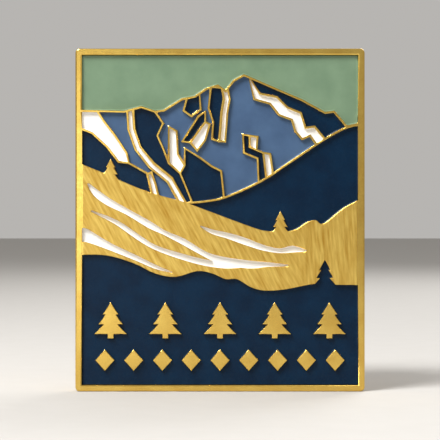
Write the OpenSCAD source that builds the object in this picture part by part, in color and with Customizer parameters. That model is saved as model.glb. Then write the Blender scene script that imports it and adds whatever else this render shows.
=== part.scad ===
// Soft enamel badge with two needle posts and two butterfly clutches.
// The badge stands upright with its face towards -Y and its posts towards +Y.
// The origin is the centre of the plate's back face. Millimetres.

/* [Badge] */
// Width of the badge
badge_w = 25.4; // [22:0.1:32]
// Height of the badge
badge_h = 30.1; // [26:0.1:38]
// Thickness of the struck plate, back face to the top of the raised lines
plate_t = 1.6; // [1.2:0.1:2.4]
// Radius of the badge's outer corners
corner_r = 0.4; // [0.2:0.1:1]
// Width of the raised frame around the picture
frame_w = 0.6; // [0.5:0.1:1]
// Depth of the struck pockets below the raised lines
pocket_depth = 0.55; // [0.4:0.05:0.8]
// How far the enamel's surface lies below the raised lines
enamel_drop = 0.17; // [0.05:0.01:0.3]
// Width of the raised lines between enamel cells
line_w = 0.2; // [0.16:0.01:0.26]

/* [Ornament] */
// Height of the trees in the upper row
row_tree_h = 3.2; // [2:0.1:3.6]
// Width of the trees in the upper row
row_tree_w = 2.9; // [1.8:0.1:3.6]
// Number of trees in the upper row
row_trees = 5; // [3:1:5]
// Height of the lozenges in the lower row
lozenge_h = 1.9; // [1:0.1:2.2]
// Width of the lozenges in the lower row
lozenge_w = 1.7; // [1:0.1:2.1]
// Number of lozenges in the lower row
lozenges = 9; // [5:1:9]

/* [Posts] */
// Diameter of the post's shank
post_d = 1.15; // [1:0.05:1.4]
// Height of the post above the back face, to its tip
post_l = 8; // [7.4:0.1:10]
// Height of the posts' row above the middle of the badge
post_up = 2; // [0:0.5:5]
// Diameter of the foot that is soldered to the plate
foot_d = 3.2; // [2.8:0.1:3.8]
// Thickness of the foot
foot_t = 0.4; // [0.35:0.05:0.6]
// Height of the cone between the foot and the shank
neck_h = 0.25; // [0.15:0.05:0.4]
// Depth of the round seat in the plate that the foot sits in
seat_depth = 0.15; // [0.1:0.05:0.3]
// Width of the solder fillet around the foot
solder_w = 0.35; // [0.2:0.05:0.35]
// Depth of the groove that the clutch's wire grips
groove_depth = 0.1; // [0.08:0.01:0.15]
// Length of the groove, which narrows to its middle
groove_l = 1; // [0.9:0.05:1.2]
// Distance from the groove's outer end to the tip
groove_to_tip = 1.2; // [1.1:0.1:1.6]
// Length of the tapered point
point_l = 0.85; // [0.5:0.05:1]
// Radius of the blunted tip
tip_r = 0.08; // [0.05:0.01:0.12]

/* [Clutch] */
// Outer diameter of the clutch's dished base
clutch_d = 11.2; // [10.6:0.1:13.5]
// Gap between the two clutches' rims
clutch_gap = 1.6; // [0.6:0.1:4]
// Thickness of the base's sheet
base_t = 0.35; // [0.3:0.05:0.45]
// Inner radius of the bend that turns the rim up
rim_bend_r = 0.6; // [0.4:0.05:0.8]
// Width of the ring that clinches the cap to the base
clinch_w = 0.3; // [0.25:0.05:0.4]
// Outer diameter of the cap's drum
cap_d = 7; // [6.8:0.1:7.4]
// Height of the cap above the base's sheet
cap_h = 3.05; // [2.9:0.05:3.4]
// Thickness of the cap's sheet
cap_t = 0.3; // [0.25:0.05:0.35]
// Radius of the cap's top edge
cap_edge_r = 0.6; // [0.4:0.1:0.8]
// Width of the cap's flange
cap_flange_w = 0.8; // [0.6:0.1:1]
// Diameter of the spring wire
wire_d = 0.45; // [0.4:0.01:0.5]
// Length of the straight legs of the spring wire
wire_leg_l = 4; // [3.6:0.1:4.2]
// Clearance between the shank and each hole it passes through
post_play = 0.08; // [0.05:0.01:0.1]
// Clearance between neighbouring pieces inside the clutch
play = 0.05; // [0.03:0.01:0.08]

/* [Wings] */
// Width of the wing where it passes through the cap
wing_w = 2.8; // [2.4:0.1:3]
// Thickness of the wing's sheet
wing_t = 0.4; // [0.3:0.05:0.45]
// Width of the finger tab
tab_w = 4.8; // [4:0.1:5.4]
// Length of the finger tab past its bend
tab_l = 2.8; // [2.2:0.1:3.4]
// Lean of the finger tab from the clutch's axis, in degrees
tab_lean = 27; // [20:1:35]
// Diameter of the wing's pivot
pivot_d = 0.6; // [0.5:0.05:0.65]
// Clearance around the pivot in its holes
pivot_play = 0.08; // [0.05:0.01:0.1]
// Distance of the pivot from the clutch's axis
pivot_out = 2.2; // [2.1:0.05:2.3]
// Height of the pivot above the clutch's underside
pivot_up = 2.4; // [2.3:0.05:2.5]

/* [Hidden] */
$fn = 48;

gold = "gold";
steel = "lightsteelblue";
past = 1;                            // how far a cut runs past what it cuts
left = -1;
right = 1;
upper = -1;
lower = 1;

floor_t = plate_t - pocket_depth;
enamel_t = pocket_depth - enamel_drop;
window_w = badge_w - 2 * frame_w;
window_h = badge_h - 2 * frame_w;

post_r = post_d / 2;
post_gap = clutch_d + clutch_gap;    // distance between the two posts
foot_r = foot_d / 2;
foot_top = foot_t - seat_depth;
groove_end = post_l - groove_to_tip;
groove_start = groove_end - groove_l;
wire_r = wire_d / 2;
wire_out = post_r - groove_depth + play / 2 + wire_r;
wire_up = base_t + wire_r + play;
groove_mid = groove_start + groove_l / 2;
clutch_y = groove_mid - wire_up;     // underside of the clutch, with its wire in the groove

// ---- drawing helpers -------------------------------------------------------

// The picture is drawn in a window of this size and fitted to the real one
picture_w = 24.2;
picture_h = 28.9;
edge_u = picture_w / 2 + 1;          // just past the window's side
edge_v = picture_h / 2 + 1;          // just past its top and bottom

function fit(p) = [for (q = p) [q.x * window_w / picture_w, q.y * window_h / picture_h]];
function backwards(p) = [for (i = [len(p) - 1:-1:0]) p[i]];
function unit(v) = v / norm(v);
function quarter(v) = [v.y, -v.x];
function area2(p) = let (n = len(p))
    [for (i = 0, s = 0; i <= n; s = s + cross(p[i % n], p[(i + 1) % n]), i = i + 1) s][n];
function ccw(p) = area2(p) > 0 ? p : backwards(p);

// A smooth curve through the points, in so many steps a span
function curve(p, steps = 4) = let (n = len(p)) concat(
    [for (i = [0:n - 2]) let (a = p[max(i - 1, 0)], b = p[i], c = p[i + 1], d = p[min(i + 2, n - 1)])
        for (k = [0:steps - 1]) let (t = k / steps)
            (2 * b + (c - a) * t + (2 * a - 5 * b + 4 * c - d) * t * t
                + (3 * b - 3 * c + d - a) * t * t * t) / 2],
    [p[n - 1]]);

// The direction square to a line at one of its points, with the corner's stretch
sharpest = 0.65;                     // keeps the stretch at sharp corners small
function square_to(before, here, after) = let (
    a = unit(quarter(here - before)), b = unit(quarter(after - here)), m = unit(a + b))
    m / max(sharpest, m * b);

// A closed outline moved outwards by d
function grow(p, d) = let (q = ccw(p), n = len(q))
    [for (i = [0:n - 1]) q[i] + d * square_to(q[(i + n - 1) % n], q[i], q[(i + 1) % n])];

// A band along an open line; each point holds its place and, third, the band's width there
function band(p) = let (n = len(p), c = [for (q = p) [q.x, q.y]], out = [for (i = [0:n - 1])
    square_to(i == 0 ? 2 * c[0] - c[1] : c[i - 1], c[i], i == n - 1 ? 2 * c[i] - c[i - 1] : c[i + 1])])
    concat([for (i = [0:n - 1]) c[i] + out[i] * p[i].z / 2],
        [for (i = [n - 1:-1:0]) c[i] - out[i] * p[i].z / 2]);

function line(p, w) = band([for (q = p) [q.x, q.y, w]]);

// A fir tree with its foot at the origin: tiers of branches on a stem, as shares of its width and height
fir_tiers = 3;
fir_stem_w = 0.18;
fir_stem_h = 0.12;
fir_tier_h = 0.27;
fir_taper = 0.26;                    // how much less each tier reaches than the one below
fir_waist = 0.42;                    // reach left at the top of a tier
function fir_side(w, h) = concat(
    [[w * fir_stem_w / 2, 0], [w * fir_stem_w / 2, h * fir_stem_h]],
    [for (i = [0:fir_tiers - 1])
        let (low = h * (fir_stem_h + fir_tier_h * i), reach = w / 2 * (1 - fir_taper * i))
        each [[reach, low], [reach * fir_waist, low + h * fir_tier_h]]]);
function fir(w, h) = let (side = fir_side(w, h), tip = [[0, h]])
    concat([for (i = [0:len(side) - 2]) side[i]], tip,
        backwards([for (i = [0:len(side) - 2]) [-side[i].x, side[i].y]]));
function at(p, place) = [for (q = p) q + place];

// ---- the picture's lines, in the picture's own window -------------------------

ridge = [
    [-edge_u, 9.6], [-8.4, 9.5], [-6.9, 9.9], [-5.7, 9.5], [-4.9, 9.6], [-3.3, 10.6], [-2.2, 10.8],
    [-1.2, 11.5], [-0.2, 11.8], [0.5, 11.3], [1.2, 12.2], [2.1, 12.7], [4.9, 11.5], [7.2, 10.5],
    [9.2, 9.4], [10, 9.5], [11.1, 8.2], [edge_u, 8.6]
];
valley_line = [
    [-4, 1.2], [-2.8, 1.5], [-1.5, 1.6], [0.5, 2], [3.6, 3.4], [6.2, 5.1], [8.9, 6.9], [11.1, 8.1],
    [edge_u, 8.5]
];
meadow_top = [
    [-edge_u, 5.3], [-10.6, 4.3], [-7.6, 3], [-5.7, 2.3], [-3.2, 1.6], [-0.7, 0.7], [1.7, -0.2],
    [4.2, -1], [6.4, -0.9], [7.6, -0.2], [8.4, 0], [9.1, -0.3], [10.9, 1.1], [edge_u, 2.2]
];
meadow_foot = [
    [-edge_u, -3.1], [-10.1, -3.1], [-7.6, -3.8], [-5.7, -4.7], [-3.9, -5], [-2, -4.5], [-0.7, -4.7],
    [0.5, -5.2], [1.5, -5.2], [2.7, -5.9], [3.9, -6.2], [5.7, -6.1], [8.4, -5.6], [10.2, -5.7], [edge_u, -5.7]
];

// White drifts on the meadow: place and width along each
meadow_drifts = [
    [[-11.6, 3.2, 0.15], [-10.9, 2.4, 0.6], [-9.8, 1.6, 0.65], [-8.1, 0.7, 0.5], [-6.2, -0.4, 0.6],
        [-4.9, -1.1, 0.4], [-3.2, -1.9, 0.55], [-1.5, -2.9, 0.45], [0, -3.5, 0.65], [2.5, -3.9, 0.7],
        [4.2, -3.9, 0.4], [6, -4, 0.15]],
    [[-11.3, 0.8, 0.12], [-9.1, -0.2, 0.4], [-7.2, -1.5, 0.45], [-5.7, -2.4, 0.4], [-3.7, -3.1, 0.5],
        [-1.5, -3.7, 0.55], [0.5, -4, 0.5], [2, -4, 0.3]],
    [[-edge_u, -1.3, 1.2], [-12, -1.3, 1.2], [-11.2, -1.6, 0.95], [-9.5, -2.4, 0.6], [-7.2, -3.4, 0.45],
        [-5.7, -4.1, 0.35], [-4.2, -4.6, 0.12]],
    [[-1.7, -0.55, 0.12], [-0.6, -1.05, 0.4], [0.6, -1.35, 0.5], [2, -1.8, 0.6], [3.7, -2.4, 0.5],
        [5.2, -2.7, 0.4], [6.4, -2.55, 0.6], [7.6, -2.7, 0.12]]
];

// Dark faces of the rock
shadows = [
    [[-7.6, 9.8], [-6.9, 9.9], [-5.7, 9.5], [-5, 8.5], [-5.5, 7.4], [-5, 6.3], [-4.5, 5], [-3.5, 4.1],
        [-2.3, 1.2], [-2.9, 1.2], [-4.2, 3.7], [-5.8, 5], [-7, 6.4], [-7.5, 8]],
    [[-3.1, 6.3], [-1.8, 5.5], [-0.7, 4.7], [0.1, 4.3], [0.4, 1.4], [-2.3, 1.2], [-3.5, 4.1], [-3.1, 4.8]],
    [[-0.8, 11.7], [0.2, 11.6], [0.3, 10.6], [0.1, 9.4], [0, 8], [-0.1, 6.9], [-0.7, 7.1],
        [-0.6, 8.6], [-1, 9.8]],
    [[-2.9, 10.7], [-2.2, 10.8], [-1.8, 11.1], [-1.7, 9.7], [-2.5, 9.1], [-3.2, 9.6]],
    [[-1.3, 9.5], [-1.9, 9.1], [-2.8, 7.7], [-3.3, 6.9], [-2.6, 6.8], [-1.9, 7.8], [-1.3, 8.6]],
    [[2, 7.5], [2.6, 7.4], [2.6, 6.4], [3.8, 5.9], [4.1, 3.3], [3.4, 2.9], [3.3, 5.4], [2.1, 5.9]],
    [[2.5, 12.6], [4.9, 11.5], [7.2, 10.5], [9.2, 9.4], [10, 9.5], [11.3, 8], [9.4, 6.9], [8.3, 8.2],
        [7.5, 8.1], [7.1, 9.4], [5.9, 9.9], [5, 10.8], [3.5, 11.1]]
];

// Snow fields and sunlit edges of the rock
snow_fields = [
    [[-edge_u, 9.6], [-10.8, 9.6], [-10.2, 8.7], [-9.2, 7.4], [-8.2, 5.9], [-8, 5], [-8.9, 5.1],
        [-9.9, 6.4], [-11.2, 7.6], [-edge_u, 8.4]],
    [[-4.5, 8.2], [-3.8, 7.8], [-3.7, 5.8], [-3.1, 4.8], [-3.5, 4.1], [-4.5, 5]],
    [[2.6, 7.4], [3.3, 7.3], [3.2, 6.15], [2.6, 6.4]],
    [[3.8, 5.9], [4.4, 5.8], [4.6, 4.4], [4.6, 3.5], [4.1, 3.3]],
    [[-2.6, 6.8], [-1.9, 7.8], [-1.3, 8.6], [-0.9, 8.4], [-1.3, 7], [-2, 6.1]],
    [[2.5, 12.6], [3.5, 11.1], [5, 10.8], [5.9, 9.9], [7.1, 9.4], [7.5, 8.1], [8.3, 8.2], [9.4, 6.9],
        [8.7, 6.3], [7.9, 7.4], [7.2, 7.1], [6.6, 7.8], [6.3, 8.8], [5.2, 9.2], [4.4, 10.2], [3, 10.6]]
];
snow_edges = [
    [[-7.9, 9.7, 0.5], [-7.8, 8, 0.5], [-7.2, 6.3, 0.5], [-6, 4.8, 0.5], [-4.4, 3.5, 0.5], [-3.1, 1.2, 0.5]],
    [[0.4, 11.7, 0.5], [0.6, 10.6, 0.5], [0.4, 9.4, 0.5], [0.3, 8, 0.5], [0.2, 6.9, 0.5]],
    [[-6.2, 4.1, 0.4], [-5.9, 3.1, 0.5], [-5.6, 1.8, 0.5]]
];
snow_outlines = concat(snow_fields, [for (e = snow_edges) band(e)]);

// The dark slope at the left, under the snow field
left_slope = [
    [-edge_u, 8.4], [-11.2, 7.6], [-9.9, 6.4], [-8.9, 5.1], [-8, 5], [-6.4, 4.1], [-6.1, 3.1],
    [-5.8, 1.8], [-edge_u, 2.2]
];
rock_islands = concat(shadows, snow_outlines, [left_slope]);

meadow_fir_w = 1.7;
meadow_fir_h = 2.3;
meadow_firs = [[-9.6, 3.1], [5.3, -1.5]];
near_fir_w = 2;
near_fir_h = 2.6;
near_fir = [9.2, -6.1];
row_left = -9.6;                     // middle of the upper row's first tree
row_foot = -10.4;                    // foot of the upper row
lozenge_left = -10.1;                // middle of the lower row's first lozenge
lozenge_mid = -12.3;                 // middle of the lower row

// ---- flat shapes of the picture -----------------------------------------------

module window_2d() square([window_w, window_h], center = true);

module drifts_2d() for (d = meadow_drifts) polygon(fit(band(curve(d, 3))));

module near_fir_2d() polygon(fit(at(fir(near_fir_w, near_fir_h), near_fir)));

module meadow_2d() difference() {
    union() {
        polygon(fit(concat(curve(meadow_top), backwards(curve(meadow_foot)))));
        for (foot = meadow_firs) polygon(fit(at(fir(meadow_fir_w, meadow_fir_h), foot)));
    }
    near_fir_2d();
}

module islands_2d(outlines, extra) for (p = outlines) polygon(grow(fit(p), extra));

module ridge_line_2d() polygon(line(fit(ridge), line_w));

module valley_line_2d() polygon(line(fit(curve(valley_line)), line_w));

module rock_region_2d() difference() {
    intersection() {
        window_2d();
        polygon(fit(concat(ridge, backwards(curve(valley_line)), [[-4, 0.5], [-edge_u, 3]])));
    }
    ridge_line_2d();
    valley_line_2d();
    meadow_2d();
}

// Cells of the rock, each inside the raised line that runs along its outline
module rock_cells_2d(outlines) intersection() {
    rock_region_2d();
    islands_2d(outlines, -line_w / 2);
}

module snow_2d() rock_cells_2d(snow_outlines);

module shadows_2d() difference() {
    rock_cells_2d(shadows);
    islands_2d(snow_outlines, line_w / 2);
}

module left_slope_2d() difference() {
    rock_cells_2d([left_slope]);
    islands_2d(snow_outlines, line_w / 2);
}

module slate_2d() difference() {
    rock_region_2d();
    islands_2d(rock_islands, line_w / 2);
}

module row_2d() {
    tree_step = -2 * row_left / (row_trees - 1);
    lozenge_step = -2 * lozenge_left / (lozenges - 1);
    lozenge = [[-lozenge_w / 2, 0], [0, -lozenge_h / 2], [lozenge_w / 2, 0], [0, lozenge_h / 2]];
    for (i = [0:row_trees - 1])
        polygon(fit(at(fir(row_tree_w, row_tree_h), [row_left + i * tree_step, row_foot])));
    for (i = [0:lozenges - 1])
        polygon(fit(at(lozenge, [lozenge_left + i * lozenge_step, lozenge_mid])));
}

module sky_2d() difference() {
    intersection() {
        window_2d();
        polygon(fit(concat(ridge, [[edge_u, edge_v], [-edge_u, edge_v]])));
    }
    ridge_line_2d();
}

module valley_2d() difference() {
    intersection() {
        window_2d();
        polygon(fit(concat(curve(valley_line), [[edge_u, -2], [-4, 0]])));
    }
    valley_line_2d();
    meadow_2d();
}

module foreground_2d() difference() {
    intersection() {
        window_2d();
        union() {
            polygon(fit(concat(curve(meadow_foot), [[edge_u, -edge_v], [-edge_u, -edge_v]])));
            near_fir_2d();
        }
    }
    row_2d();
}

module drift_cells_2d() intersection() {
    window_2d();
    drifts_2d();
}

// Everything of the picture that isn't enamel
module metal_2d() difference() {
    window_2d();
    sky_2d();
    slate_2d();
    shadows_2d();
    snow_2d();
    left_slope_2d();
    valley_2d();
    drift_cells_2d();
    foreground_2d();
}

module badge_outline_2d() {
    square([badge_w - 2 * corner_r, badge_h], center = true);
    square([badge_w, badge_h - 2 * corner_r], center = true);
    for (sx = [left, right], sy = [left, right])
        translate([sx * (badge_w / 2 - corner_r), sy * (badge_h / 2 - corner_r)]) circle(corner_r);
}

// ---- badge ------------------------------------------------------------------

// Turns a flat drawing upright; height above the drawing points to the face, -Y
module upright() rotate([90, 0, 0]) children();

module enamel(shade) color(shade) upright()
    translate([0, 0, floor_t]) linear_extrude(enamel_t) children();

module at_post(side) translate([side * post_gap / 2, 0, post_up]) rotate([-90, 0, 0]) children();

module badge_base() color(gold) difference() {
    upright() union() {
        linear_extrude(floor_t) badge_outline_2d();
        linear_extrude(plate_t) difference() {
            badge_outline_2d();
            window_2d();
        }
        linear_extrude(plate_t) metal_2d();
    }
    for (side = [left, right]) at_post(side)
        translate([0, 0, -seat_depth]) cylinder(h = seat_depth + past, r = foot_r + 2 * solder_w);
}

module sky_enamel() enamel("darkseagreen") sky_2d();
module slate_rock_enamel() enamel("slategray") slate_2d();
module shadow_enamel() enamel("midnightblue") shadows_2d();
module snow_enamel() enamel("white") snow_2d();
module left_slope_enamel() enamel("midnightblue") left_slope_2d();
module valley_enamel() enamel("midnightblue") valley_2d();
module meadow_snow_enamel() enamel("white") drift_cells_2d();
module foreground_enamel() enamel("midnightblue") foreground_2d();

// ---- posts --------------------------------------------------------------------

module post(side) color(steel) at_post(side) rotate_extrude() {
    translate([0, -seat_depth]) square([foot_r, foot_t]);
    polygon([
        [0, foot_top], [post_r + neck_h, foot_top], [post_r, foot_top + neck_h], [post_r, groove_start],
        [post_r - groove_depth, groove_mid], [post_r, groove_end], [post_r, post_l - point_l],
        [tip_r, post_l], [0, post_l]
    ]);
}

module solder(side) color("silver") at_post(side) translate([0, 0, -seat_depth]) rotate_extrude()
    difference() {
        translate([foot_r, 0]) square([solder_w, foot_t]);
        translate([foot_r + solder_w + play, foot_t + play]) circle(solder_w + play / 2);
    }

module left_post() post(left);
module right_post() post(right);
module left_solder() solder(left);
module right_solder() solder(right);

// ---- clutches: their own axis is +Z, starting at the underside of the base --------

module at_clutch(side) translate([side * post_gap / 2, clutch_y, post_up]) rotate([-90, 0, 0]) children();

hole_r = post_r + post_play;
cap_r = cap_d / 2;
flange_r = cap_r + cap_flange_w;
cap_top = base_t + cap_h;
rim_mid_r = clutch_d / 2 - base_t - rim_bend_r;

module clutch_base(side) color(gold) at_clutch(side) rotate_extrude() {
    translate([hole_r, 0]) square([rim_mid_r - hole_r, base_t]);
    translate([rim_mid_r, base_t + rim_bend_r]) {
        difference() {
            circle(rim_bend_r + base_t);
            circle(rim_bend_r);
            translate([-2 * clutch_d, -clutch_d]) square([2 * clutch_d, 2 * clutch_d]);
            translate([-clutch_d, 0]) square(2 * clutch_d);
        }
        translate([rim_bend_r + base_t / 2, 0]) circle(base_t / 2);
    }
    // the ring that folds over the cap's flange
    translate([flange_r + play, base_t / 2]) square([clinch_w, base_t / 2 + cap_t + play + clinch_w / 2]);
    translate([flange_r - clinch_w, base_t + cap_t + play]) square([2 * clinch_w + play, clinch_w / 2]);
}

module cap_section() difference() {
    union() {
        square([cap_r - cap_edge_r, cap_h]);
        square([cap_r, cap_h - cap_edge_r]);
        translate([cap_r - cap_edge_r, cap_h - cap_edge_r]) circle(cap_edge_r);
        square([flange_r, cap_t]);
    }
    translate([0, -past]) square([cap_r - cap_edge_r, cap_h - cap_t + past]);
    translate([0, -past]) square([cap_r - cap_t, cap_h - cap_edge_r + past]);
    translate([cap_r - cap_edge_r, cap_h - cap_edge_r]) circle(cap_edge_r - cap_t);
    translate([0, -past]) square([hole_r, cap_h + 2 * past]);
}

slot_w = wing_w + 8 * play;
slot_inside = 0.7;                   // how far the slot reaches from the pivot to the axis
slot_below = 0.6;                    // how far it reaches below the pivot
slot_start = pivot_out - slot_inside;
slot_foot = pivot_up - slot_below;

module clutch_cap(side) color(gold) at_clutch(side) difference() {
    translate([0, 0, base_t]) rotate_extrude() cap_section();
    for (way = [upper, lower]) {
        slot_mid = slot_start + (cap_r + past) / 2;
        translate([0, way * slot_mid, slot_foot + cap_h / 2])
            cube([slot_w, cap_r + past, cap_h], center = true);
        translate([0, way * pivot_out, pivot_up]) rotate([0, 90, 0])
            cylinder(h = 2 * cap_r, r = pivot_d / 2 + pivot_play, center = true);
    }
}

// The spring wire: two legs beside the post, joined by a bend
module grip_spring(side) color(steel) at_clutch(side) translate([0, 0, wire_up]) {
    for (way = [upper, lower]) translate([0, way * wire_out, 0]) rotate([0, 90, 0])
        cylinder(h = wire_leg_l, r = wire_r, center = true);
    translate([wire_leg_l / 2, 0, 0]) rotate([0, 0, -90]) rotate_extrude(angle = 180)
        translate([wire_out, 0]) circle(wire_r);
}

// The wing is a lever: prongs behind the wire's leg, a pivot in the cap, a finger tab outside
pivot_place = [pivot_out, pivot_up];
pivot_end = sqrt(cap_r * cap_r - pivot_out * pivot_out) - 2 * play;   // inside the drum's wall
arm_start = [wire_out + wire_r, wire_up + 2 * wire_r + play];
arm_slope = unit(pivot_place - arm_start);
arm_past = 1.55;                     // length of the arm from the pivot to its bend
arm_bend = pivot_place + arm_past * arm_slope;
bend_l = 0.6;                        // length of full-width sheet after the bend
tab_way = [sin(tab_lean), cos(tab_lean)];
prong_in = 0.15;                     // from the clutch's axis
prong_out = wire_out - wire_r - play;
prong_foot = wire_up + wire_r / 3;
prong_top = wire_up + wire_r + play;
prong_side = hole_r + 4 * play;
prong_w = 0.5;
prong_lap = 0.1;                     // how far the prong's sheet laps the arm
rib_r = 0.16;
rib_gap = 0.6;
ribs = 3;
rib_share = 0.6;                     // length of a rib as a share of the tab's width
tab_foot = 0.3;                      // where the tab starts to widen
tab_round_up = 0.2;                  // middle of its rounding above half its length

// Draws a section in the plane across the pivot and gives it a width along the pivot
module across(w) rotate([90, 0, 90]) linear_extrude(w, center = true) children();

module wing_shape() {
    across(wing_w) polygon(line([arm_start, arm_bend, arm_bend + bend_l * tab_way], wing_t));
    for (sx = [left, right]) translate([sx * (prong_side + prong_w / 2), 0, 0]) across(prong_w)
        polygon([
            [prong_in, prong_foot], [prong_out, prong_foot], [prong_out, prong_top],
            [arm_start.x + prong_lap, prong_top], arm_start + [prong_lap, prong_lap], [prong_in, arm_start.y]
        ]);
    translate([0, pivot_out, pivot_up]) rotate([0, 90, 0])
        cylinder(h = 2 * pivot_end, r = pivot_d / 2, center = true);
    translate([0, arm_bend.x, arm_bend.y]) rotate([-tab_lean, 0, 0]) {
        rotate([90, 0, 0]) translate([0, 0, -wing_t / 2]) linear_extrude(wing_t) tab_2d();
        for (i = [1:ribs]) translate([0, wing_t / 2, tab_l - i * rib_gap]) rotate([0, 90, 0])
            cylinder(h = tab_w * rib_share, r = rib_r, center = true);
    }
}

module tab_2d() intersection() {
    union() {
        translate([-wing_w / 2, 0]) square([wing_w, tab_l / 2]);
        translate([0, tab_l / 2 + tab_round_up]) circle(tab_w / 2);
    }
    translate([-tab_w / 2, tab_foot]) square([tab_w, tab_l - tab_foot]);
}

module wing(side, way) color(gold) at_clutch(side)
    if (way == upper) mirror([0, 1, 0]) wing_shape();
    else wing_shape();

module left_clutch_base() clutch_base(left);
module left_clutch_cap() clutch_cap(left);
module left_grip_spring() grip_spring(left);
module left_upper_wing() wing(left, upper);
module left_lower_wing() wing(left, lower);
module right_clutch_base() clutch_base(right);
module right_clutch_cap() clutch_cap(right);
module right_grip_spring() grip_spring(right);
module right_upper_wing() wing(right, upper);
module right_lower_wing() wing(right, lower);

badge_base();
sky_enamel();
slate_rock_enamel();
shadow_enamel();
snow_enamel();
left_slope_enamel();
valley_enamel();
meadow_snow_enamel();
foreground_enamel();
left_post();
right_post();
left_solder();
right_solder();
left_clutch_base();
left_clutch_cap();
left_grip_spring();
left_upper_wing();
left_lower_wing();
right_clutch_base();
right_clutch_cap();
right_grip_spring();
right_upper_wing();
right_lower_wing();
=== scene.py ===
# %% [markdown]
# # A soft enamel badge with butterfly clutches
# The badge is a struck, gold-plated plate. Its raised lines part a picture into shallow pockets, and
# each pocket holds baked enamel. Two needle posts stand on the back, with a butterfly clutch on each.
# The CAD frame gives every piece in metres, where it belongs. We start from that frame, keep its box,
# and never move a CAD node: a finished piece takes a node's place.

import math

import bmesh
import bpy
from mathutils import Matrix, Vector
from mathutils.bvhtree import BVHTree


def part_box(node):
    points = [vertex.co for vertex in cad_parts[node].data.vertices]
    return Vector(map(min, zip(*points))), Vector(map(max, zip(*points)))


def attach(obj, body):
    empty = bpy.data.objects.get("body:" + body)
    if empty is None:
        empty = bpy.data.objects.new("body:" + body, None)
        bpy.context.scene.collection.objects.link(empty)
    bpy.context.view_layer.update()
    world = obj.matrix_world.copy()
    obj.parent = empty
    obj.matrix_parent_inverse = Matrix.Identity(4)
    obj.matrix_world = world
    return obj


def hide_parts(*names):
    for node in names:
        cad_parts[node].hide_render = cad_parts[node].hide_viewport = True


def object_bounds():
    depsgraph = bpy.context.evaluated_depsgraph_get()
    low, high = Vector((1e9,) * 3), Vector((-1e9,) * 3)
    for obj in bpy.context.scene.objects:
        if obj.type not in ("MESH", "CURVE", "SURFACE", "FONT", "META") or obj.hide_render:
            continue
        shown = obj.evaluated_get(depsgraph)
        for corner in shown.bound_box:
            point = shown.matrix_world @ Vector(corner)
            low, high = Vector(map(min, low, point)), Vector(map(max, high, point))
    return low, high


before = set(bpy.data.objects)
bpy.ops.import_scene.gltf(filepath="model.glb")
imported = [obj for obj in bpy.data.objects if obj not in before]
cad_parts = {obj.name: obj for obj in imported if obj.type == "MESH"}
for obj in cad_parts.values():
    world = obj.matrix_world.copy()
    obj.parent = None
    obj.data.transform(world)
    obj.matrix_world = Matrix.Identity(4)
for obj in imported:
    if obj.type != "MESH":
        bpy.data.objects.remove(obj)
cad_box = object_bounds()
MM = 0.001
SIDES = ("left", "right")
print("CAD box, mm:", [[round(c / MM, 2) for c in corner] for corner in cad_box])

# %% [markdown]
# ## Colours and shader nodes
# Colour charts, screens and paint makers give colours as sRGB hex values, but a renderer adds light
# up in linear values. One function turns the first into the second, so each finish below can be
# written as the hex value a maker would match. A second function adds a shader node: its settings
# go on the node, and each input is either a value or another node's output. A third starts a
# material, and puts what is the same all over the piece on the shader's own sockets.
# The fourth gives a finish its colour. Plating, lacquer and solder all vary a little from place to
# place, and a surface of one flat colour looks like plastic. So every finish goes from one hex value
# to another, close by, along a pattern.


# %% Four helpers for finishes
def linear(hex_colour):
    channels = [int(hex_colour[i : i + 2], 16) / 255 for i in (1, 3, 5)]
    return [c / 12.92 if c <= 0.04045 else ((c + 0.055) / 1.055) ** 2.4 for c in channels] + [1.0]


def add(tree, kind, inputs, **settings):
    node = tree.nodes.new(kind)
    for name, value in settings.items():
        setattr(node, name, value)
    for name, value in inputs.items():
        if isinstance(value, bpy.types.NodeSocket):
            tree.links.new(value, node.inputs[name])
        else:
            node.inputs[name].default_value = value
    return node


def finish(name, **shader_values):
    """A new material: its tree, its shader, and the place on the piece as X, Y and Z."""
    material = bpy.data.materials.new(name)
    material.use_nodes = True
    tree = material.node_tree
    shader = tree.nodes["Principled BSDF"]
    for socket, value in shader_values.items():
        shader.inputs[socket.replace("_", " ")].default_value = value
    place = add(tree, "ShaderNodeTexCoord", {}).outputs["Object"]
    return material, tree, shader, place


def shade(tree, shader, pattern, shades, ends=(0, 1)):
    """The colour: from the first shade to the second while the pattern goes between the ends."""
    ramp = add(tree, "ShaderNodeValToRGB", {"Fac": pattern})
    for element, position, colour in zip(ramp.color_ramp.elements, ends, shades):
        element.position = position
        element.color = linear(colour)
    tree.links.new(ramp.outputs["Color"], shader.inputs["Base Color"])


print("gold in linear light:", [round(c, 3) for c in linear("#E3B458")])

# %% [markdown]
# ## Pattern sizes
# Every pattern is worked out from its real size. A noise texture makes about one blotch per unit of
# its scale, so a blotch of s millimetres needs a scale of 1000 / s on a piece that is in metres. A
# wave texture of bands makes one band in 2 pi / 20 units of its scale.


# %% Scales from millimetres
def blotch(mm):
    return 1 / (mm * MM)


def bands(mm):
    return 2 * math.pi / 20 / (mm * MM)


print("scale of a 0.3 mm blotch:", round(blotch(0.3)), "and of 0.3 mm bands:", round(bands(0.3)))

# %% [markdown]
# ## The meadow's cut strokes
# Most of the plate is polished, but the broad metal of the meadow keeps fine strokes that were cut
# into the die, and the enameller leaves it bare so that they sparkle. A fine noise that is drawn out
# along the strokes gives them without any repeat. They lean over most of the meadow and turn upright
# at the far right. A mask of ones and zeros keeps them to the meadow: each limit of its stretch of
# the plate is one comparison, and the mask is their product.

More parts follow.
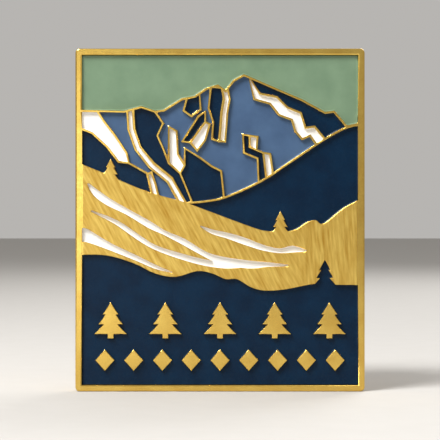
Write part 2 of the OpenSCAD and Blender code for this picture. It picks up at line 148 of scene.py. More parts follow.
# %% Cut strokes
FACE_Y = -1.6 * MM  # top of the raised lines; the back face is at 0
STROKE_GAP = 0.22  # mm; the real strokes are about 0.15 mm apart, too fine to show
STROKE_LENGTH = 9  # times the gap
LEANING, UPRIGHT = 28, 4  # degrees, on the left and middle, and at the far right
TURNS_UPRIGHT = {"From Min": 6.0 * MM, "From Max": 8.0 * MM}
MEADOW_LOW, MEADOW_HIGH, MEADOW_HALF_WIDTH = -6.7 * MM, 5.7 * MM, 12.0 * MM


def strokes(tree, place, degrees):
    """A fine noise, drawn out along the strokes."""
    lean = {"Vector": place, "Rotation": (0, math.radians(degrees), 0)}
    leaning = add(tree, "ShaderNodeMapping", lean)
    drawn_out = {"Vector": leaning.outputs[0], "Scale": (1, 1, 1 / STROKE_LENGTH)}
    stretched = add(tree, "ShaderNodeMapping", drawn_out)
    fine = {"Vector": stretched.outputs[0], "Scale": blotch(STROKE_GAP), "Detail": 3.0}
    return add(tree, "ShaderNodeTexNoise", fine).outputs["Fac"]


def cut_strokes(tree, place, axes):
    """Leaning strokes that give way to upright ones at the far right."""
    right = add(tree, "ShaderNodeMapRange", {"Value": axes.outputs["X"], **TURNS_UPRIGHT})
    both = {2: strokes(tree, place, LEANING), 3: strokes(tree, place, UPRIGHT)}
    return add(tree, "ShaderNodeMix", {"Factor": right.outputs["Result"], **both}).outputs[0]


def meadow_mask(tree, axes):
    """1 on the meadow's stretch of the plate, on the face only, and 0 elsewhere."""
    across = add(tree, "ShaderNodeMath", {0: axes.outputs["X"]}, operation="ABSOLUTE")
    limits = (
        (across.outputs[0], "LESS_THAN", MEADOW_HALF_WIDTH),
        (axes.outputs["Z"], "GREATER_THAN", MEADOW_LOW),
        (axes.outputs["Z"], "LESS_THAN", MEADOW_HIGH),
        (axes.outputs["Y"], "LESS_THAN", FACE_Y / 2),
    )
    mask = 1.0
    for measure, comparison, limit in limits:
        within = add(tree, "ShaderNodeMath", {0: measure, 1: limit}, operation=comparison)
        product = {0: within.outputs[0], 1: mask}
        mask = add(tree, "ShaderNodeMath", product, operation="MULTIPLY").outputs[0]
    return mask


print("strokes", STROKE_GAP, "mm apart, with a scale of", round(blotch(STROKE_GAP)))

# %% [markdown]
# ## Gold plating on the struck plate
# The plate is struck from brass or iron, tumbled, plated with a thin bright gold and polished. On the
# edges and lines that gives a sharp gleam. The meadow has its cut strokes, and is duller because no
# polish reaches between them. The back is sandblasted, so its gleam is spread wide.
# One material does all three: the place on the plate decides between them. A metal has no colour of
# its own but that of its reflection, so the hex values here are the tint of the gleam.

# %% Gold plating
FAINT_TARNISH = {"From Min": 0.3, "From Max": 0.7, "To Min": 0.46, "To Max": 0.58}
STROKES_SHARE = 0.75  # of the meadow's colour; the rest is the tarnish
POLISHED = {"To Min": 0.14, "To Max": 0.28}  # roughness
DULLER, BLASTED = 0.14, 0.5  # roughness that the meadow adds, and that of the back
BACK_STARTS = {"From Min": -0.03 * MM, "From Max": -0.01 * MM}  # just in front of the back face


def gold_plating():
    material, tree, shader, place = finish("struck_gold_plating", Metallic=1.0)
    axes = add(tree, "ShaderNodeSeparateXYZ", {"Vector": place})
    lines = cut_strokes(tree, place, axes)
    meadow = meadow_mask(tree, axes)
    # Colour: tarnish, too faint to read as blotches, and the strokes over it in the meadow
    tarnish = add(tree, "ShaderNodeTexNoise", {"Vector": place, "Scale": blotch(1.6), "Detail": 6.0})
    faint = add(tree, "ShaderNodeMapRange", {"Value": tarnish.outputs["Fac"], **FAINT_TARNISH})
    in_meadow = add(tree, "ShaderNodeMath", {0: meadow, 1: STROKES_SHARE}, operation="MULTIPLY")
    both = {2: faint.outputs["Result"], 3: lines}
    tone = add(tree, "ShaderNodeMix", {"Factor": in_meadow.outputs[0], **both})
    shade(tree, shader, tone.outputs[0], ("#C3953A", "#F0D06F"), (0.32, 0.68))
    # Gloss: fine polishing scratches vary it
    scratches = add(tree, "ShaderNodeTexNoise", {"Vector": place, "Scale": blotch(0.25), "Detail": 6.0})
    polished = add(tree, "ShaderNodeMapRange", {"Value": scratches.outputs["Fac"], **POLISHED})
    duller = add(tree, "ShaderNodeMath", {0: meadow, 1: DULLER}, operation="MULTIPLY")
    both = {0: duller.outputs[0], 1: polished.outputs["Result"]}
    face = add(tree, "ShaderNodeMath", both, operation="ADD")
    how_far_back = {"Value": axes.outputs["Y"], **BACK_STARTS}
    back = add(tree, "ShaderNodeMapRange", how_far_back).outputs["Result"]
    gloss = add(tree, "ShaderNodeMix", {"Factor": back, 2: face.outputs[0], 3: BLASTED})
    tree.links.new(gloss.outputs[0], shader.inputs["Roughness"])
    # Relief: the strokes' grooves, and the grit of the back
    cut = add(tree, "ShaderNodeMath", {0: lines, 1: meadow}, operation="MULTIPLY")
    depth = {"Strength": 0.35, "Distance": 0.03 * MM}
    grooves = add(tree, "ShaderNodeBump", {"Height": cut.outputs[0], **depth})
    grit = add(tree, "ShaderNodeTexNoise", {"Vector": place, "Scale": blotch(0.22), "Detail": 4.0})
    blast = add(tree, "ShaderNodeMath", {0: grit.outputs["Fac"], 1: back}, operation="MULTIPLY")
    depth = {"Strength": 0.8, "Distance": 0.05 * MM, "Normal": grooves.outputs["Normal"]}
    surface = add(tree, "ShaderNodeBump", {"Height": blast.outputs[0], **depth})
    tree.links.new(surface.outputs["Normal"], shader.inputs["Normal"])
    return material


GOLD = gold_plating()
print("made", GOLD.name)

# %% [markdown]
# ## Soft enamel
# Soft enamel is a pigmented baking lacquer. It is dripped into the pockets and baked, and as it dries
# it sinks, so it stands highest where it clings to the metal. Up close the colour is not quite even,
# because the pigment settles, and the gloss is broken by a faint orange peel.
# Each colour is one material from the same function, with its own hex values and roughness.

# %% Enamel colours
DUSTY = (-0.05, 0.07)  # how far dust takes the roughness down and up


def soft_enamel(name, pale, deep, roughness):
    material, tree, shader, place = finish(name, IOR=1.5, Specular_IOR_Level=0.13)
    settled = add(tree, "ShaderNodeTexNoise", {"Vector": place, "Scale": blotch(1.8), "Detail": 5.0})
    shade(tree, shader, settled.outputs["Fac"], (deep, pale), (0.35, 0.65))
    dust = add(tree, "ShaderNodeTexNoise", {"Vector": place, "Scale": blotch(0.4), "Detail": 3.0})
    spread = {"To Min": roughness + DUSTY[0], "To Max": roughness + DUSTY[1]}
    gloss = add(tree, "ShaderNodeMapRange", {"Value": dust.outputs["Fac"], **spread})
    tree.links.new(gloss.outputs["Result"], shader.inputs["Roughness"])
    peel = add(tree, "ShaderNodeTexNoise", {"Vector": place, "Scale": blotch(0.7), "Detail": 2.0})
    depth = {"Strength": 0.35, "Distance": 0.02 * MM}
    surface = add(tree, "ShaderNodeBump", {"Height": peel.outputs["Fac"], **depth})
    tree.links.new(surface.outputs["Normal"], shader.inputs["Normal"])
    return material


SAGE = soft_enamel("sage_soft_enamel", "#728A70", "#698168", 0.34)
SLATE = soft_enamel("slate_soft_enamel", "#475F7E", "#3F5573", 0.3)
NAVY = soft_enamel("navy_soft_enamel", "#04223A", "#031B31", 0.26)
WHITE = soft_enamel("white_soft_enamel", "#F8F7F4", "#EFEEEA", 0.3)
print("made", [m.name for m in (SAGE, SLATE, NAVY, WHITE)])

# %% [markdown]
# ## Plating of the posts
# The post is drawn wire: it is pulled through a die, which leaves fine lines along it, and then it is
# plated with the badge. A noise that is stretched along the post gives the lines. They vary the
# colour, the gloss and the relief together, because one scratch does all three.

# %% Post plating
POST_LINES = 25  # how many times longer than wide the drawn lines are


def drawn_post_plating():
    material, tree, shader, place = finish("drawn_post_plating", Metallic=1.0)
    drawn_out = {"Vector": place, "Scale": (1, 1 / POST_LINES, 1)}
    along = add(tree, "ShaderNodeMapping", drawn_out).outputs[0]
    drawn = add(tree, "ShaderNodeTexNoise", {"Vector": along, "Scale": blotch(0.1), "Detail": 4.0})
    lines = drawn.outputs["Fac"]
    shade(tree, shader, lines, ("#D2A955", "#F0D28A"))
    gloss = add(tree, "ShaderNodeMapRange", {"Value": lines, "To Min": 0.16, "To Max": 0.34})
    tree.links.new(gloss.outputs["Result"], shader.inputs["Roughness"])
    depth = {"Strength": 0.3, "Distance": 0.01 * MM}
    surface = add(tree, "ShaderNodeBump", {"Height": lines, **depth})
    tree.links.new(surface.outputs["Normal"], shader.inputs["Normal"])
    return material


POST = drawn_post_plating()
print("made", POST.name)

# %% [markdown]
# ## Solder
# The solder that holds each foot is a soft grey alloy. It sets dull and slightly lumpy, so one soft
# noise varies its colour, its gloss and its relief.


# %% Solder
def dull_solder():
    material, tree, shader, place = finish("dull_solder", Metallic=1.0)
    soft = add(tree, "ShaderNodeTexNoise", {"Vector": place, "Scale": blotch(0.5), "Detail": 5.0})
    lumps = soft.outputs["Fac"]
    shade(tree, shader, lumps, ("#8F8A80", "#C4BEB0"))
    gloss = add(tree, "ShaderNodeMapRange", {"Value": lumps, "To Min": 0.3, "To Max": 0.55})
    tree.links.new(gloss.outputs["Result"], shader.inputs["Roughness"])
    depth = {"Strength": 0.6, "Distance": 0.04 * MM}
    surface = add(tree, "ShaderNodeBump", {"Height": lumps, **depth})
    tree.links.new(surface.outputs["Normal"], shader.inputs["Normal"])
    return material


SOLDER = dull_solder()
print("made", SOLDER.name)

# %% [markdown]
# ## Plating of the clutches
# The clutch is pressed from thin sheet and plated a paler gold than the face, and the press leaves
# faint rings round its middle. The rings are a wave texture. Both clutches share one material, so
# the distance from the badge's middle folds the left clutch onto the right one before the pattern
# is centred there.

# %% Clutch plating
POST_X = 6.4 * MM  # each post's distance from the middle
POST_Z = 2.0 * MM


def pressed_sheet_plating():
    material, tree, shader, place = finish("pressed_sheet_plating", Metallic=1.0)
    wear = add(tree, "ShaderNodeTexNoise", {"Vector": place, "Scale": blotch(0.9), "Detail": 6.0})
    shade(tree, shader, wear.outputs["Fac"], ("#D5AC58", "#EFCF88"), (0.3, 0.7))
    worn = {"Value": wear.outputs["Fac"], "To Min": 0.16, "To Max": 0.32}
    gloss = add(tree, "ShaderNodeMapRange", worn)
    tree.links.new(gloss.outputs["Result"], shader.inputs["Roughness"])
    axes = add(tree, "ShaderNodeSeparateXYZ", {"Vector": place})
    side = add(tree, "ShaderNodeMath", {0: axes.outputs["X"]}, operation="ABSOLUTE")
    folded = add(tree, "ShaderNodeCombineXYZ", {"X": side.outputs[0], "Z": axes.outputs["Z"]})
    to_centre = {"Vector": folded.outputs[0], "Location": (-POST_X, 0, -POST_Z)}
    centred = add(tree, "ShaderNodeMapping", to_centre)
    pressed = {"Vector": centred.outputs[0], "Scale": bands(0.3), "Distortion": 0.8, "Detail": 2.0}
    wave = add(tree, "ShaderNodeTexWave", pressed, wave_type="RINGS", rings_direction="Y")
    depth = {"Strength": 0.12, "Distance": 0.01 * MM}
    surface = add(tree, "ShaderNodeBump", {"Height": wave.outputs["Fac"], **depth})
    tree.links.new(surface.outputs["Normal"], shader.inputs["Normal"])
    return material


SHEET = pressed_sheet_plating()
print("made", SHEET.name)

# %% [markdown]
# ## Spring steel
# The grip is bright spring steel wire, which is drawn like the post but left bare. Its two legs lie
# from left to right, so the lines are stretched that way.

# %% Spring steel
WIRE_LINES = 20  # how many times longer than wide the drawn lines are


def spring_steel():
    material, tree, shader, place = finish("bright_spring_steel", Metallic=1.0)
    drawn_out = {"Vector": place, "Scale": (1 / WIRE_LINES, 1, 1)}
    along = add(tree, "ShaderNodeMapping", drawn_out).outputs[0]
    drawn = add(tree, "ShaderNodeTexNoise", {"Vector": along, "Scale": blotch(0.08), "Detail": 4.0})
    lines = drawn.outputs["Fac"]
    shade(tree, shader, lines, ("#A7ABB0", "#D6D9DC"))
    gloss = add(tree, "ShaderNodeMapRange", {"Value": lines, "To Min": 0.15, "To Max": 0.3})
    tree.links.new(gloss.outputs["Result"], shader.inputs["Roughness"])
    return material


STEEL = spring_steel()
print("made", STEEL.name)

# %% [markdown]
# ## A clean copy of a CAD node
# The CAD mesh is exact but made of loose triangles with knife-sharp edges. We never touch it. We copy
# it, merge the copy's doubles, and dissolve the edges inside each flat face, so that later tools see
# real faces and real edges.

# %% Clean copies
SAME_POINT = 0.0005  # mm; points nearer than this are one
SAME_POINT_ON_A_LINE = 0.02  # mm; shorter edges of the picture's outlines are of no use
SAME_FACE = math.radians(0.5)  # faces that meet at less than this are one


def clean_copy(node, same_point=SAME_POINT):
    bm = bmesh.new()
    bm.from_mesh(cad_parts[node].data)
    bmesh.ops.remove_doubles(bm, verts=bm.verts, dist=same_point * MM)
    bmesh.ops.dissolve_limit(bm, angle_limit=SAME_FACE, verts=bm.verts, edges=bm.edges)
    return bm


print("points nearer than", SAME_POINT, "mm are one, or", SAME_POINT_ON_A_LINE, "mm on the face")

# %% [markdown]
# ## Rounded edges
# Nothing that is pressed, stamped or cut has a truly sharp edge, and it is the rounded edge that
# catches the light. The edges are found by the angle between their two faces, and a bevel rounds
# them. Its widths are small beside the pieces, so it isn't clamped.

# %% Rounding
CORNER_SPREAD = 0.3  # of the rounding, at a corner that points outwards


def edges_sharper_than(bm, degrees, wanted=lambda edge: True):
    bm.normal_update()
    limit = math.radians(degrees)
    return [
        e for e in bm.edges if len(e.link_faces) == 2 and e.calc_face_angle() > limit and wanted(e)
    ]


def round_edges(bm, edges, mm, steps=2):
    bmesh.ops.bevel(
        bm,
        geom=edges,
        offset=mm * MM,
        offset_type="OFFSET",
        affect="EDGES",
        segments=steps,
        profile=0.5,
        material=-1,
        miter_outer="ARC",
        spread=CORNER_SPREAD * mm * MM,
        clamp_overlap=False,
    )
    print("edges rounded by", mm, "mm:", len(edges))


# %% [markdown]
# ## Placing a finished piece
# A finished piece rides on its CAD body, has a slot that says what it is made of, and replaces the
# CAD node it was made from. Shading is smooth except at edges that stay sharp, and the broad faces
# get the say over the normals, so that flat faces stay flat beside a rounded edge.

# %% Placing
SHARP = math.radians(32)  # between its two faces; an edge past this stays sharp


def place_piece(bm, name, nodes, body, material):
    mesh = bpy.data.meshes.new(name)
    bm.to_mesh(mesh)
    bm.free()
    mesh.shade_smooth()
    mesh.set_sharp_from_angle(angle=SHARP)
    mesh.materials.append(material)
    piece = bpy.data.objects.new(name, mesh)
    bpy.context.scene.collection.objects.link(piece)
    flat_faces = piece.modifiers.new("flat faces stay flat", "WEIGHTED_NORMAL")
    flat_faces.keep_sharp = True
    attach(piece, body)
    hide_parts(*nodes)
    print(name, "has", len(mesh.polygons), "faces")


# %% [markdown]
# ## Rings round a face
# Both the struck lines and the enamel need a soft step all round their outlines. A bevel or a plain
# inset of one width would cross itself in the picture's narrow tips. So each ring starts as an inset
# of a hair, and its points are then pushed inwards, at most by a share of the width at that very
# point: the distance to the nearest wall across from it, measured just under the surface.
# Long edges are cut first, so that each stretch of them is pushed by its own width.

# %% Insetting by the width at hand
HAIR = 0.001 * MM
MITRE = 1.4  # at a corner, a point goes further than along an edge, by up to this factor
SHARE = 0.12  # of the width at a point, at most
OF_AN_EDGE = 0.45  # and at most this share of the shorter edge at that point
BELOW = Vector((0, 0.1 * MM, 0))  # from a point of the face to the walls under it
ACROSS = 0.1  # cosine; a wall is across from a point if its normal goes inwards by more than this
FURTHEST_APART = 0.4 * MM  # points along an outline


def outline_edges(faces):
    inside = set(faces)
    return [e for f in faces for e in f.edges if sum(g in inside for g in e.link_faces) == 1]


def outline_points(faces):
    """The points on the faces' outline, each with the length of its shorter edge."""
    shortest = {}
    for edge in outline_edges(faces):
        for vert in edge.verts:
            shortest[vert] = min(edge.calc_length(), shortest.get(vert, 1))
    return shortest


def cut_long_edges(bm, edges):
    by_cuts = {}
    for edge in edges:
        by_cuts.setdefault(int(edge.calc_length() / FURTHEST_APART), []).append(edge)
    for cuts, same_length in by_cuts.items():
        if cuts:
            bmesh.ops.bisect_edges(bm, edges=same_length, cuts=cuts)


def push_inwards(vert, start, room, walls, reach):
    """Moves a ring's point on, past the hair's end, by its share of the width there."""
    hair = vert.co - start
    inwards = hair.normalized()
    near = walls.find_nearest_range(vert.co + BELOW, reach / SHARE)
    across = [away for _, normal, _, away in near if normal.dot(inwards) > ACROSS]
    width = min(across, default=reach / SHARE)
    vert.co += inwards * min(SHARE * width * min(hair.length / HAIR, MITRE), OF_AN_EDGE * room)


def rings(bm, faces, steps, stays=lambda point: False):
    """Rings inside the faces' outline, each with its reach and drop, both in mm.

    The first step is the outline itself. Heights are set last, so that every inset is flat."""
    cut_long_edges(bm, outline_edges(faces))
    bm.normal_update()
    walls = BVHTree.FromBMesh(bm)
    outlines = []
    for reach, _ in steps[1:]:
        bmesh.ops.inset_region(
            bm, faces=faces, thickness=HAIR, depth=0, use_boundary=True, use_even_offset=True
        )
        inside = {v for f in faces for v in f.verts}
        outline = []
        for vert, room in outline_points(faces).items():
            outside = [v for v in (e.other_vert(vert) for e in vert.link_edges) if v not in inside]
            outline += outside
            if len(outside) == 1 and not stays(vert.co):
                push_inwards(vert, outside[0].co, room, walls, reach * MM)
        outlines.append(outline)
    outlines.append(outline_points(faces))
    for outline, (_, drop) in zip(outlines, steps):
        for vert in outline:
            if not stays(vert.co):
                vert.co.y += drop * MM
    print("points on each ring:", [len(outline) for outline in outlines])


print("a ring's point moves by at most", SHARE, "of the width, and", OF_AN_EDGE, "of an edge")

# %% [markdown]
# ## The struck plate
# A die presses the pockets into the blank and leaves the lines standing. Struck and tumbled metal has
# no sharp edge: each line is rounded along both sides, and the frame's outer edge still more. Those
# small roundings catch the light, and they are what makes the lines read as bright metal.
# The frame's outer edge is bevelled. The lines are rounded with two rings: their outline sinks most,
# the first ring a little, and the second not at all.

# %% Struck plate
LINE_RINGS = ((0, 0.05), (0.03, 0.018), (0.04, 0))  # mm: reach and drop of the outline and the rings
RIM_ROUND = 0.14  # mm, on the frame's outer edges
RIM_BAND = 0.6 * MM  # all that is nearer to the outline than this belongs to the rim
RIM_EDGE = 40  # degrees between the two faces of an edge of the rim, at least
TO_THE_FRONT = -0.99  # y of a face's normal when the face looks to the front
TOP_SKIN = 0.01 * MM  # the top faces lie within this of the face's height


def front_faces(bm, deepest=0.0):
    bm.normal_update()
    to_front = [f for f in bm.faces if f.normal.y < TO_THE_FRONT]
    return [f for f in to_front if f.calc_center_median().y < deepest]


def plate():
    bm = clean_copy("badge_base", SAME_POINT_ON_A_LINE)
    low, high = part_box("badge_base")

    def on_rim(point):
        sides = (point.x - low.x, high.x - point.x, point.z - low.z, high.z - point.z)
        return min(sides) < RIM_BAND

    def rim_edge(edge):
        heights = {round(v.co.y / MM, 2) for v in edge.verts}
        ends = {round(low.y / MM, 2), round(high.y / MM, 2)}
        return len(heights) == 1 and heights <= ends and all(on_rim(v.co) for v in edge.verts)

    round_edges(bm, edges_sharper_than(bm, RIM_EDGE, rim_edge), RIM_ROUND, 3)
    rings(bm, front_faces(bm, FACE_Y + TOP_SKIN), LINE_RINGS, on_rim)
    place_piece(bm, "struck_plate", ["badge_base"], "badge", GOLD)


plate()

# %% [markdown]
# ## The enamel
# Each enamel colour fills several pockets. Its surface gets two rings, each a little deeper than the
# last. That gives the meniscus: high at the metal, and lower and flat in the middle.

# %% Enamel pieces
ENAMELS = {
    "sky_enamel": ("sage_enamel", SAGE),
    "slate_rock_enamel": ("slate_enamel", SLATE),
    "shadow_enamel": ("navy_enamel", NAVY),
    "snow_enamel": ("white_enamel", WHITE),
    "left_slope_enamel": ("navy_enamel", NAVY),
    "valley_enamel": ("navy_enamel", NAVY),
    "meadow_snow_enamel": ("white_enamel", WHITE),
    "foreground_enamel": ("navy_enamel", NAVY),
}
MENISCUS = ((0, 0.02), (0.06, 0.07), (0.08, 0.1))  # mm: reach and drop of the outline and the rings

for node, (slot, material) in ENAMELS.items():
    bm = clean_copy(node, SAME_POINT_ON_A_LINE)
    rings(bm, front_faces(bm), MENISCUS)
    place_piece(bm, node.replace("_enamel", "_fill"), [node], "badge", material)

# %% [markdown]
# ## Turned pieces
# The posts, the solder and the clutch bases are round. Each is drawn once, as half a section, and
# spun a full turn about its post's axis.
# The spin's two ends meet, and it merges them. A spin can come out inside out, so the normals are
# worked out again after the doubles at the axis are merged. The sections have the small roundings
# and chamfers that a tool or a press leaves, so these pieces need no bevel.

# %% Spinning a section
TURN_STEPS = 64


def arc(centre, radius, start, end, steps):
    """Points of an arc of a section, with its angles in degrees."""
    turns = [math.radians(start + (end - start) * i / steps) for i in range(steps + 1)]
    return [(centre[0] + radius * math.cos(t), centre[1] + radius * math.sin(t)) for t in turns]


def turned(section, side, closed):
    """Spins a section of (radius, height above the back face), in mm, about a post's axis."""
    bm = bmesh.new()
    middle = Vector(((-POST_X if side == "left" else POST_X), 0, POST_Z))
    verts = [bm.verts.new(middle + Vector((r * MM, y * MM, 0))) for r, y in section]
    pairs = list(zip(verts, verts[1:])) + ([(verts[-1], verts[0])] if closed else [])
    edges = [bm.edges.new(pair) for pair in pairs]
    bmesh.ops.spin(
        bm,
        geom=verts + edges,
        cent=middle,
        axis=(0, 1, 0),
        angle=2 * math.pi,
        steps=TURN_STEPS,
        use_merge=True,
    )
    bmesh.ops.remove_doubles(bm, verts=bm.verts, dist=SAME_POINT * MM)
    bmesh.ops.recalc_face_normals(bm, faces=bm.faces)
    return bm


print("a turned piece has", TURN_STEPS, "steps round its axis")

# %% [markdown]
# ## The section of a post
# The post has a thin foot in the plate's seat, a neck, a plain shank, a waist for the clutch's wire
# and a blunted point. The waist is drawn as a soft hollow, as a swaging tool leaves it.

# %% Post section
# In mm: radii, and heights above the back face
POST_R, TIP_Y = 0.575, 8.0
FOOT_R, FOOT_LOW, FOOT_HIGH = 1.6, -0.15, 0.25
FOOT_CHAMFER, FOOT_ROUND = 0.04, 0.08
NECK = 0.25  # how far it spreads over the foot, and how high it goes
WAIST_LOW, WAIST_HIGH, WAIST_DEPTH, WAIST_STEPS = 5.8, 6.8, 0.1, 8
SHOULDER = ((POST_R, 7.1), (POST_R - 0.03, 7.2))  # the shank's end, eased before the point
POINT_R, POINT_LOW, POINT_HIGH = 0.54, 7.25, 7.92
TIP_R = 0.12


def neck():
    for t in (0.25, 0.5, 0.75, 1):
        yield POST_R + NECK * (1 - t) ** 2, FOOT_HIGH + NECK * t


def waist():
    for i in range(WAIST_STEPS + 1):
        t = i / WAIST_STEPS
        hollow = WAIST_DEPTH * (1 - math.cos(2 * math.pi * t)) / 2
        yield POST_R - hollow, WAIST_LOW + (WAIST_HIGH - WAIST_LOW) * t


def point():
    for t in (0.0, 0.5, 1.0):
        yield TIP_R + (POINT_R - TIP_R) * (1 - t), POINT_LOW + (POINT_HIGH - POINT_LOW) * t


post_section = [
    (0, FOOT_LOW),
    (FOOT_R - FOOT_CHAMFER, FOOT_LOW),
    (FOOT_R, FOOT_LOW + FOOT_CHAMFER),
    *arc((FOOT_R - FOOT_ROUND, FOOT_HIGH - FOOT_ROUND), FOOT_ROUND, 0, 90, 3),
    (POST_R + NECK, FOOT_HIGH),
    *neck(),
    *waist(),
    *SHOULDER,
    *point(),
    *arc((0, TIP_Y - TIP_R), TIP_R, 20, 90, 3)[:-1],
    (0, TIP_Y),
]
print("points of the post's section:", len(post_section))

# %% [markdown]
# ## Posts and solder
# Molten solder creeps up the foot's edge and out over the seat, and sets as a hollow fillet. Its
# section is closed, because the ring doesn't reach the axis, while the post's ends on the axis.

# %% Posts and solder
SOLDER_GAP = 0.001  # mm, between the foot and the solder
SOLDER_WIDTH, SOLDER_LIP, SOLDER_TOP = 0.35, 0.02, FOOT_HIGH - 0.01
EDGE_LEAN, EDGE_HIGH = 0.005, 0.03  # the outer edge is thin, but not sharp
FILLET, FILLET_R = (FOOT_R + 0.4, 0.3), 0.385  # the middle and the radius of its hollow

solder_section = [
    (FOOT_R + SOLDER_GAP, FOOT_LOW),
    (FOOT_R + SOLDER_WIDTH, FOOT_LOW),
    (FOOT_R + SOLDER_WIDTH - EDGE_LEAN, FOOT_LOW + EDGE_HIGH),
    *arc(FILLET, FILLET_R, 262, 190, 6),
    (FOOT_R + SOLDER_LIP, SOLDER_TOP),
    (FOOT_R + SOLDER_GAP, SOLDER_TOP),
]
for side in SIDES:
    bm = turned(post_section, side, closed=False)
    place_piece(bm, f"{side}_needle_post", [f"{side}_post"], "badge", POST)
    bm = turned(solder_section, side, closed=True)
    place_piece(bm, f"{side}_solder_ring", [f"{side}_solder"], "badge", SOLDER)

# %% [markdown]
# ## Clutch bases
# The base is a shallow dish pressed from sheet, with its rim turned up so that it doesn't scratch.
# A ring of the same sheet is folded over the cap's flange and holds the cap down. As one section:
# the underside, the rim's bend and rolled edge, back down inside, over the ring, and in to the hole.

# %% Clutch bases
# In mm: radii, and heights above the base's underside
CLUTCH_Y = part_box("left_clutch_base")[0].y / MM  # where the underside is, above the back face
HOLE_R, DISH_R, SHEET_T, BEND_R = 0.655, 5.6, 0.35, 0.6
HOLE_CHAMFER = 0.05
BEND = (DISH_R - SHEET_T - BEND_R, SHEET_T + BEND_R)  # the middle of the rim's bend
RING_IN, RING_OUT, RING_TOP, RING_SEAT = 4.0, 4.65, 0.85, SHEET_T + 0.12
FOLD_R, LIP_R = 0.2, 0.07  # roundings of the ring's outer and inner edge
FLANGE_R, FLANGE_TOP = 4.35, 0.7  # the groove for the cap's flange

base_section = [
    (HOLE_R + HOLE_CHAMFER, 0),
    *arc(BEND, BEND_R + SHEET_T, 270, 360, 8),
    *arc((DISH_R - SHEET_T / 2, BEND[1]), SHEET_T / 2, 0, 180, 6)[1:],
    *arc(BEND, BEND_R, 0, -78, 6)[1:],
    (RING_OUT, RING_SEAT),
    *arc((RING_OUT - FOLD_R, RING_TOP - FOLD_R), FOLD_R, 0, 90, 4),
    *arc((RING_IN + LIP_R, RING_TOP - LIP_R), LIP_R, 90, 180, 3),
    (RING_IN, FLANGE_TOP),
    (FLANGE_R, FLANGE_TOP),
    (FLANGE_R, SHEET_T),
    (HOLE_R + HOLE_CHAMFER, SHEET_T),
    (HOLE_R, SHEET_T - HOLE_CHAMFER),
    (HOLE_R, HOLE_CHAMFER),
]
lifted = [(r, y + CLUTCH_Y) for r, y in base_section]
for side in SIDES:
    bm = turned(lifted, side, closed=True)
    nodes = [f"{side}_clutch_base"]
    place_piece(bm, f"{side}_dished_base", nodes, f"{side}_clutch", SHEET)

# %% [markdown]
# ## Caps and wings
# The cap is drawn from sheet with a slot for each wing, and the wings are stamped and bent. Neither is
# round, so they start from clean copies of the CAD shape, and every stamped edge is rounded.

# %% Caps and wings
STAMPED_ROUND = 0.06  # mm, the rounding a tumbling barrel leaves on stamped sheet
STAMPED_EDGE = 50  # degrees between the two faces of a stamped edge, at least

for side in SIDES:
    for part, body in (
        ("clutch_cap", f"{side}_clutch"),
        ("upper_wing", f"{side}_wing_up"),
        ("lower_wing", f"{side}_wing_down"),
    ):
        bm = clean_copy(f"{side}_{part}")
        round_edges(bm, edges_sharper_than(bm, STAMPED_EDGE), STAMPED_ROUND)
        name = f"{side}_{part}_sheet"
        place_piece(bm, name, [f"{side}_{part}"], body, SHEET)

# %% [markdown]
# ## Grip wires
# One length of spring wire makes both legs: a leg, a half turn round the post, and the other leg. We
# follow it as a wire bender would: a disc of wire is extruded along the first leg, spun through half
# a turn, and extruded back along the second.

# %% Grip wires
WIRE_SIDES, BEND_STEPS = 20, 18
WIRE_END_ROUND = 0.04  # mm, where the wire was cut
WIRE_END_EDGE = 60  # degrees between the wire's side and its cut end, at least


def of_kind(geometry, kind):
    return [item for item in geometry if isinstance(item, kind)]


def grip_wire(side):
    low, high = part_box(f"{side}_grip_spring")
    radius = (high.y - low.y) / 2
    y = (high.y + low.y) / 2
    z_mid = (high.z + low.z) / 2
    out = (high.z - low.z) / 2 - radius
    bend_x = high.x - radius - out
    bm = bmesh.new()
    start = Matrix.Translation((low.x, y, z_mid + out)) @ Matrix.Rotation(math.pi / 2, 4, "Y")
    bmesh.ops.create_circle(bm, cap_ends=True, segments=WIRE_SIDES, radius=radius, matrix=start)
    made = bmesh.ops.extrude_face_region(bm, geom=list(bm.faces), use_keep_orig=True)["geom"]
    bmesh.ops.translate(bm, verts=of_kind(made, bmesh.types.BMVert), vec=(bend_x - low.x, 0, 0))
    end = of_kind(made, bmesh.types.BMFace)
    bent = bmesh.ops.spin(
        bm, geom=end, cent=(bend_x, y, z_mid), axis=(0, 1, 0), angle=math.pi, steps=BEND_STEPS
    )
    end = of_kind(bent["geom_last"], bmesh.types.BMFace)
    made = bmesh.ops.extrude_face_region(bm, geom=end)["geom"]
    bmesh.ops.translate(bm, verts=of_kind(made, bmesh.types.BMVert), vec=(low.x - bend_x, 0, 0))
    # The discs that were extruded stay behind inside the wire
    discs = [f for f in bm.faces if len(f.verts) == WIRE_SIDES]
    inside = [f for f in discs if f.calc_center_median().x > low.x + radius]
    bmesh.ops.delete(bm, geom=inside, context="FACES_ONLY")
    print(side, "wire: discs taken out", len(inside))
    bmesh.ops.remove_doubles(bm, verts=bm.verts, dist=SAME_POINT * MM)
    bmesh.ops.recalc_face_normals(bm, faces=bm.faces)
    round_edges(bm, edges_sharper_than(bm, WIRE_END_EDGE), WIRE_END_ROUND)
    return bm


for side in SIDES:
    nodes = [f"{side}_grip_spring"]
    place_piece(grip_wire(side), f"{side}_grip_wire", nodes, f"{side}_clutch", STEEL)

# %% [markdown]
# ## The floor
# The badge stands on a pale sheet of paper, which shows its shadow and fills the metal from below.
# Paper is matt, and its fibres make it faintly uneven.

# %% Floor
low, high = cad_box
FLOOR_SIZE = 1.2  # metres; a grid's size is from its middle to each side

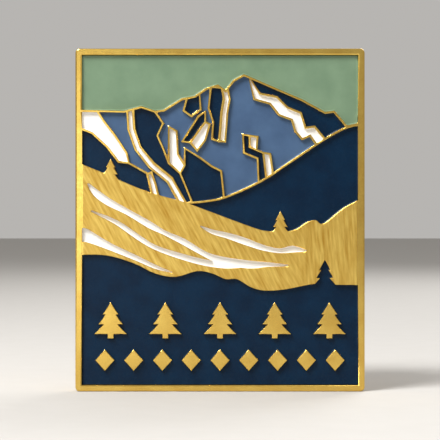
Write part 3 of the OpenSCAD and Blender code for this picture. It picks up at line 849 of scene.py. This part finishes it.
bm = bmesh.new()
under = Matrix.Translation((0, 0, low.z))
bmesh.ops.create_grid(bm, x_segments=1, y_segments=1, size=FLOOR_SIZE, matrix=under)
floor_mesh = bpy.data.meshes.new("floor")
bm.to_mesh(floor_mesh)
bm.free()
paper, tree, shader, place = finish("pale_paper", Roughness=0.8)
fibres = add(tree, "ShaderNodeTexNoise", {"Vector": place, "Scale": blotch(3), "Detail": 4.0})
shade(tree, shader, fibres.outputs["Fac"], ("#B4B1AC", "#BAB7B3"))
floor_mesh.materials.append(paper)
floor = bpy.data.objects.new("floor", floor_mesh)
bpy.context.scene.collection.objects.link(floor)
print("floor, mm, from", [round(c / MM) for c in floor_mesh.vertices[0].co])

# %% [markdown]
# ## The room and its lights
# A metal shows what is around it, so the room is pale and the lights are large and soft: one above
# and to the left gives the lines their gleam and leaves the lower right of the frame darker, a weak
# one beside the camera fills the shadows, and one behind shows the clutches.

# %% Room and lights
ROOM_COLOUR, ROOM_STRENGTH = "#EDEAE6", 0.56
LIGHTS = {  # where, how wide, both in metres, and watts
    "window_upper_left": ((-0.12, -0.11, 0.2), 0.12, 1.1),
    "panel_by_the_camera": ((-0.07, -0.36, 0.0), 0.1, 0.06),
    "light_behind": ((0.12, 0.22, 0.2), 0.18, 0.5),
}

room = bpy.data.worlds.new("pale_room")
room.use_nodes = True
background = room.node_tree.nodes["Background"]
background.inputs["Color"].default_value = linear(ROOM_COLOUR)
background.inputs["Strength"].default_value = ROOM_STRENGTH
bpy.context.scene.world = room
bpy.context.scene.view_settings.view_transform = "Standard"  # keeps enamel colours as mixed

for name, (spot, size, watts) in LIGHTS.items():
    light = bpy.data.lights.new(name, "AREA")
    light.shape, light.size, light.energy = "DISK", size, watts
    lamp = bpy.data.objects.new(name, light)
    lamp.location = spot
    lamp.rotation_euler = (-Vector(spot)).to_track_quat("-Z", "Y").to_euler()
    bpy.context.scene.collection.objects.link(lamp)
print("lights:", list(LIGHTS))

# %% [markdown]
# ## The camera
# The face is seen straight on, through a long lens from a small distance, so that the frame's sides
# stay parallel and the inner walls of the pockets barely show.

# %% Camera
LENS, SENSOR = 135.0, 36.0  # mm
NEAREST = 0.01  # metres; the camera sees nothing that is nearer
FILL = 0.78  # share of the picture's height that the badge takes

height = high.z - low.z
distance = height / FILL / 2 / (SENSOR / 2 / LENS)
camera = bpy.data.cameras.new("camera")
camera.lens, camera.sensor_width, camera.clip_start = LENS, SENSOR, NEAREST
eye = bpy.data.objects.new("camera", camera)
eye.location = (0, FACE_Y - distance, (low.z + high.z) / 2)
eye.rotation_euler = (math.pi / 2, 0, 0)
bpy.context.scene.collection.objects.link(eye)
bpy.context.scene.camera = eye
print("camera distance, mm:", round(distance / MM, 1))

# %% [markdown]
# ## The last line
# The looks must not change the size. The view layer is brought up to date at the end.

# %% The last line
bpy.context.view_layer.update()
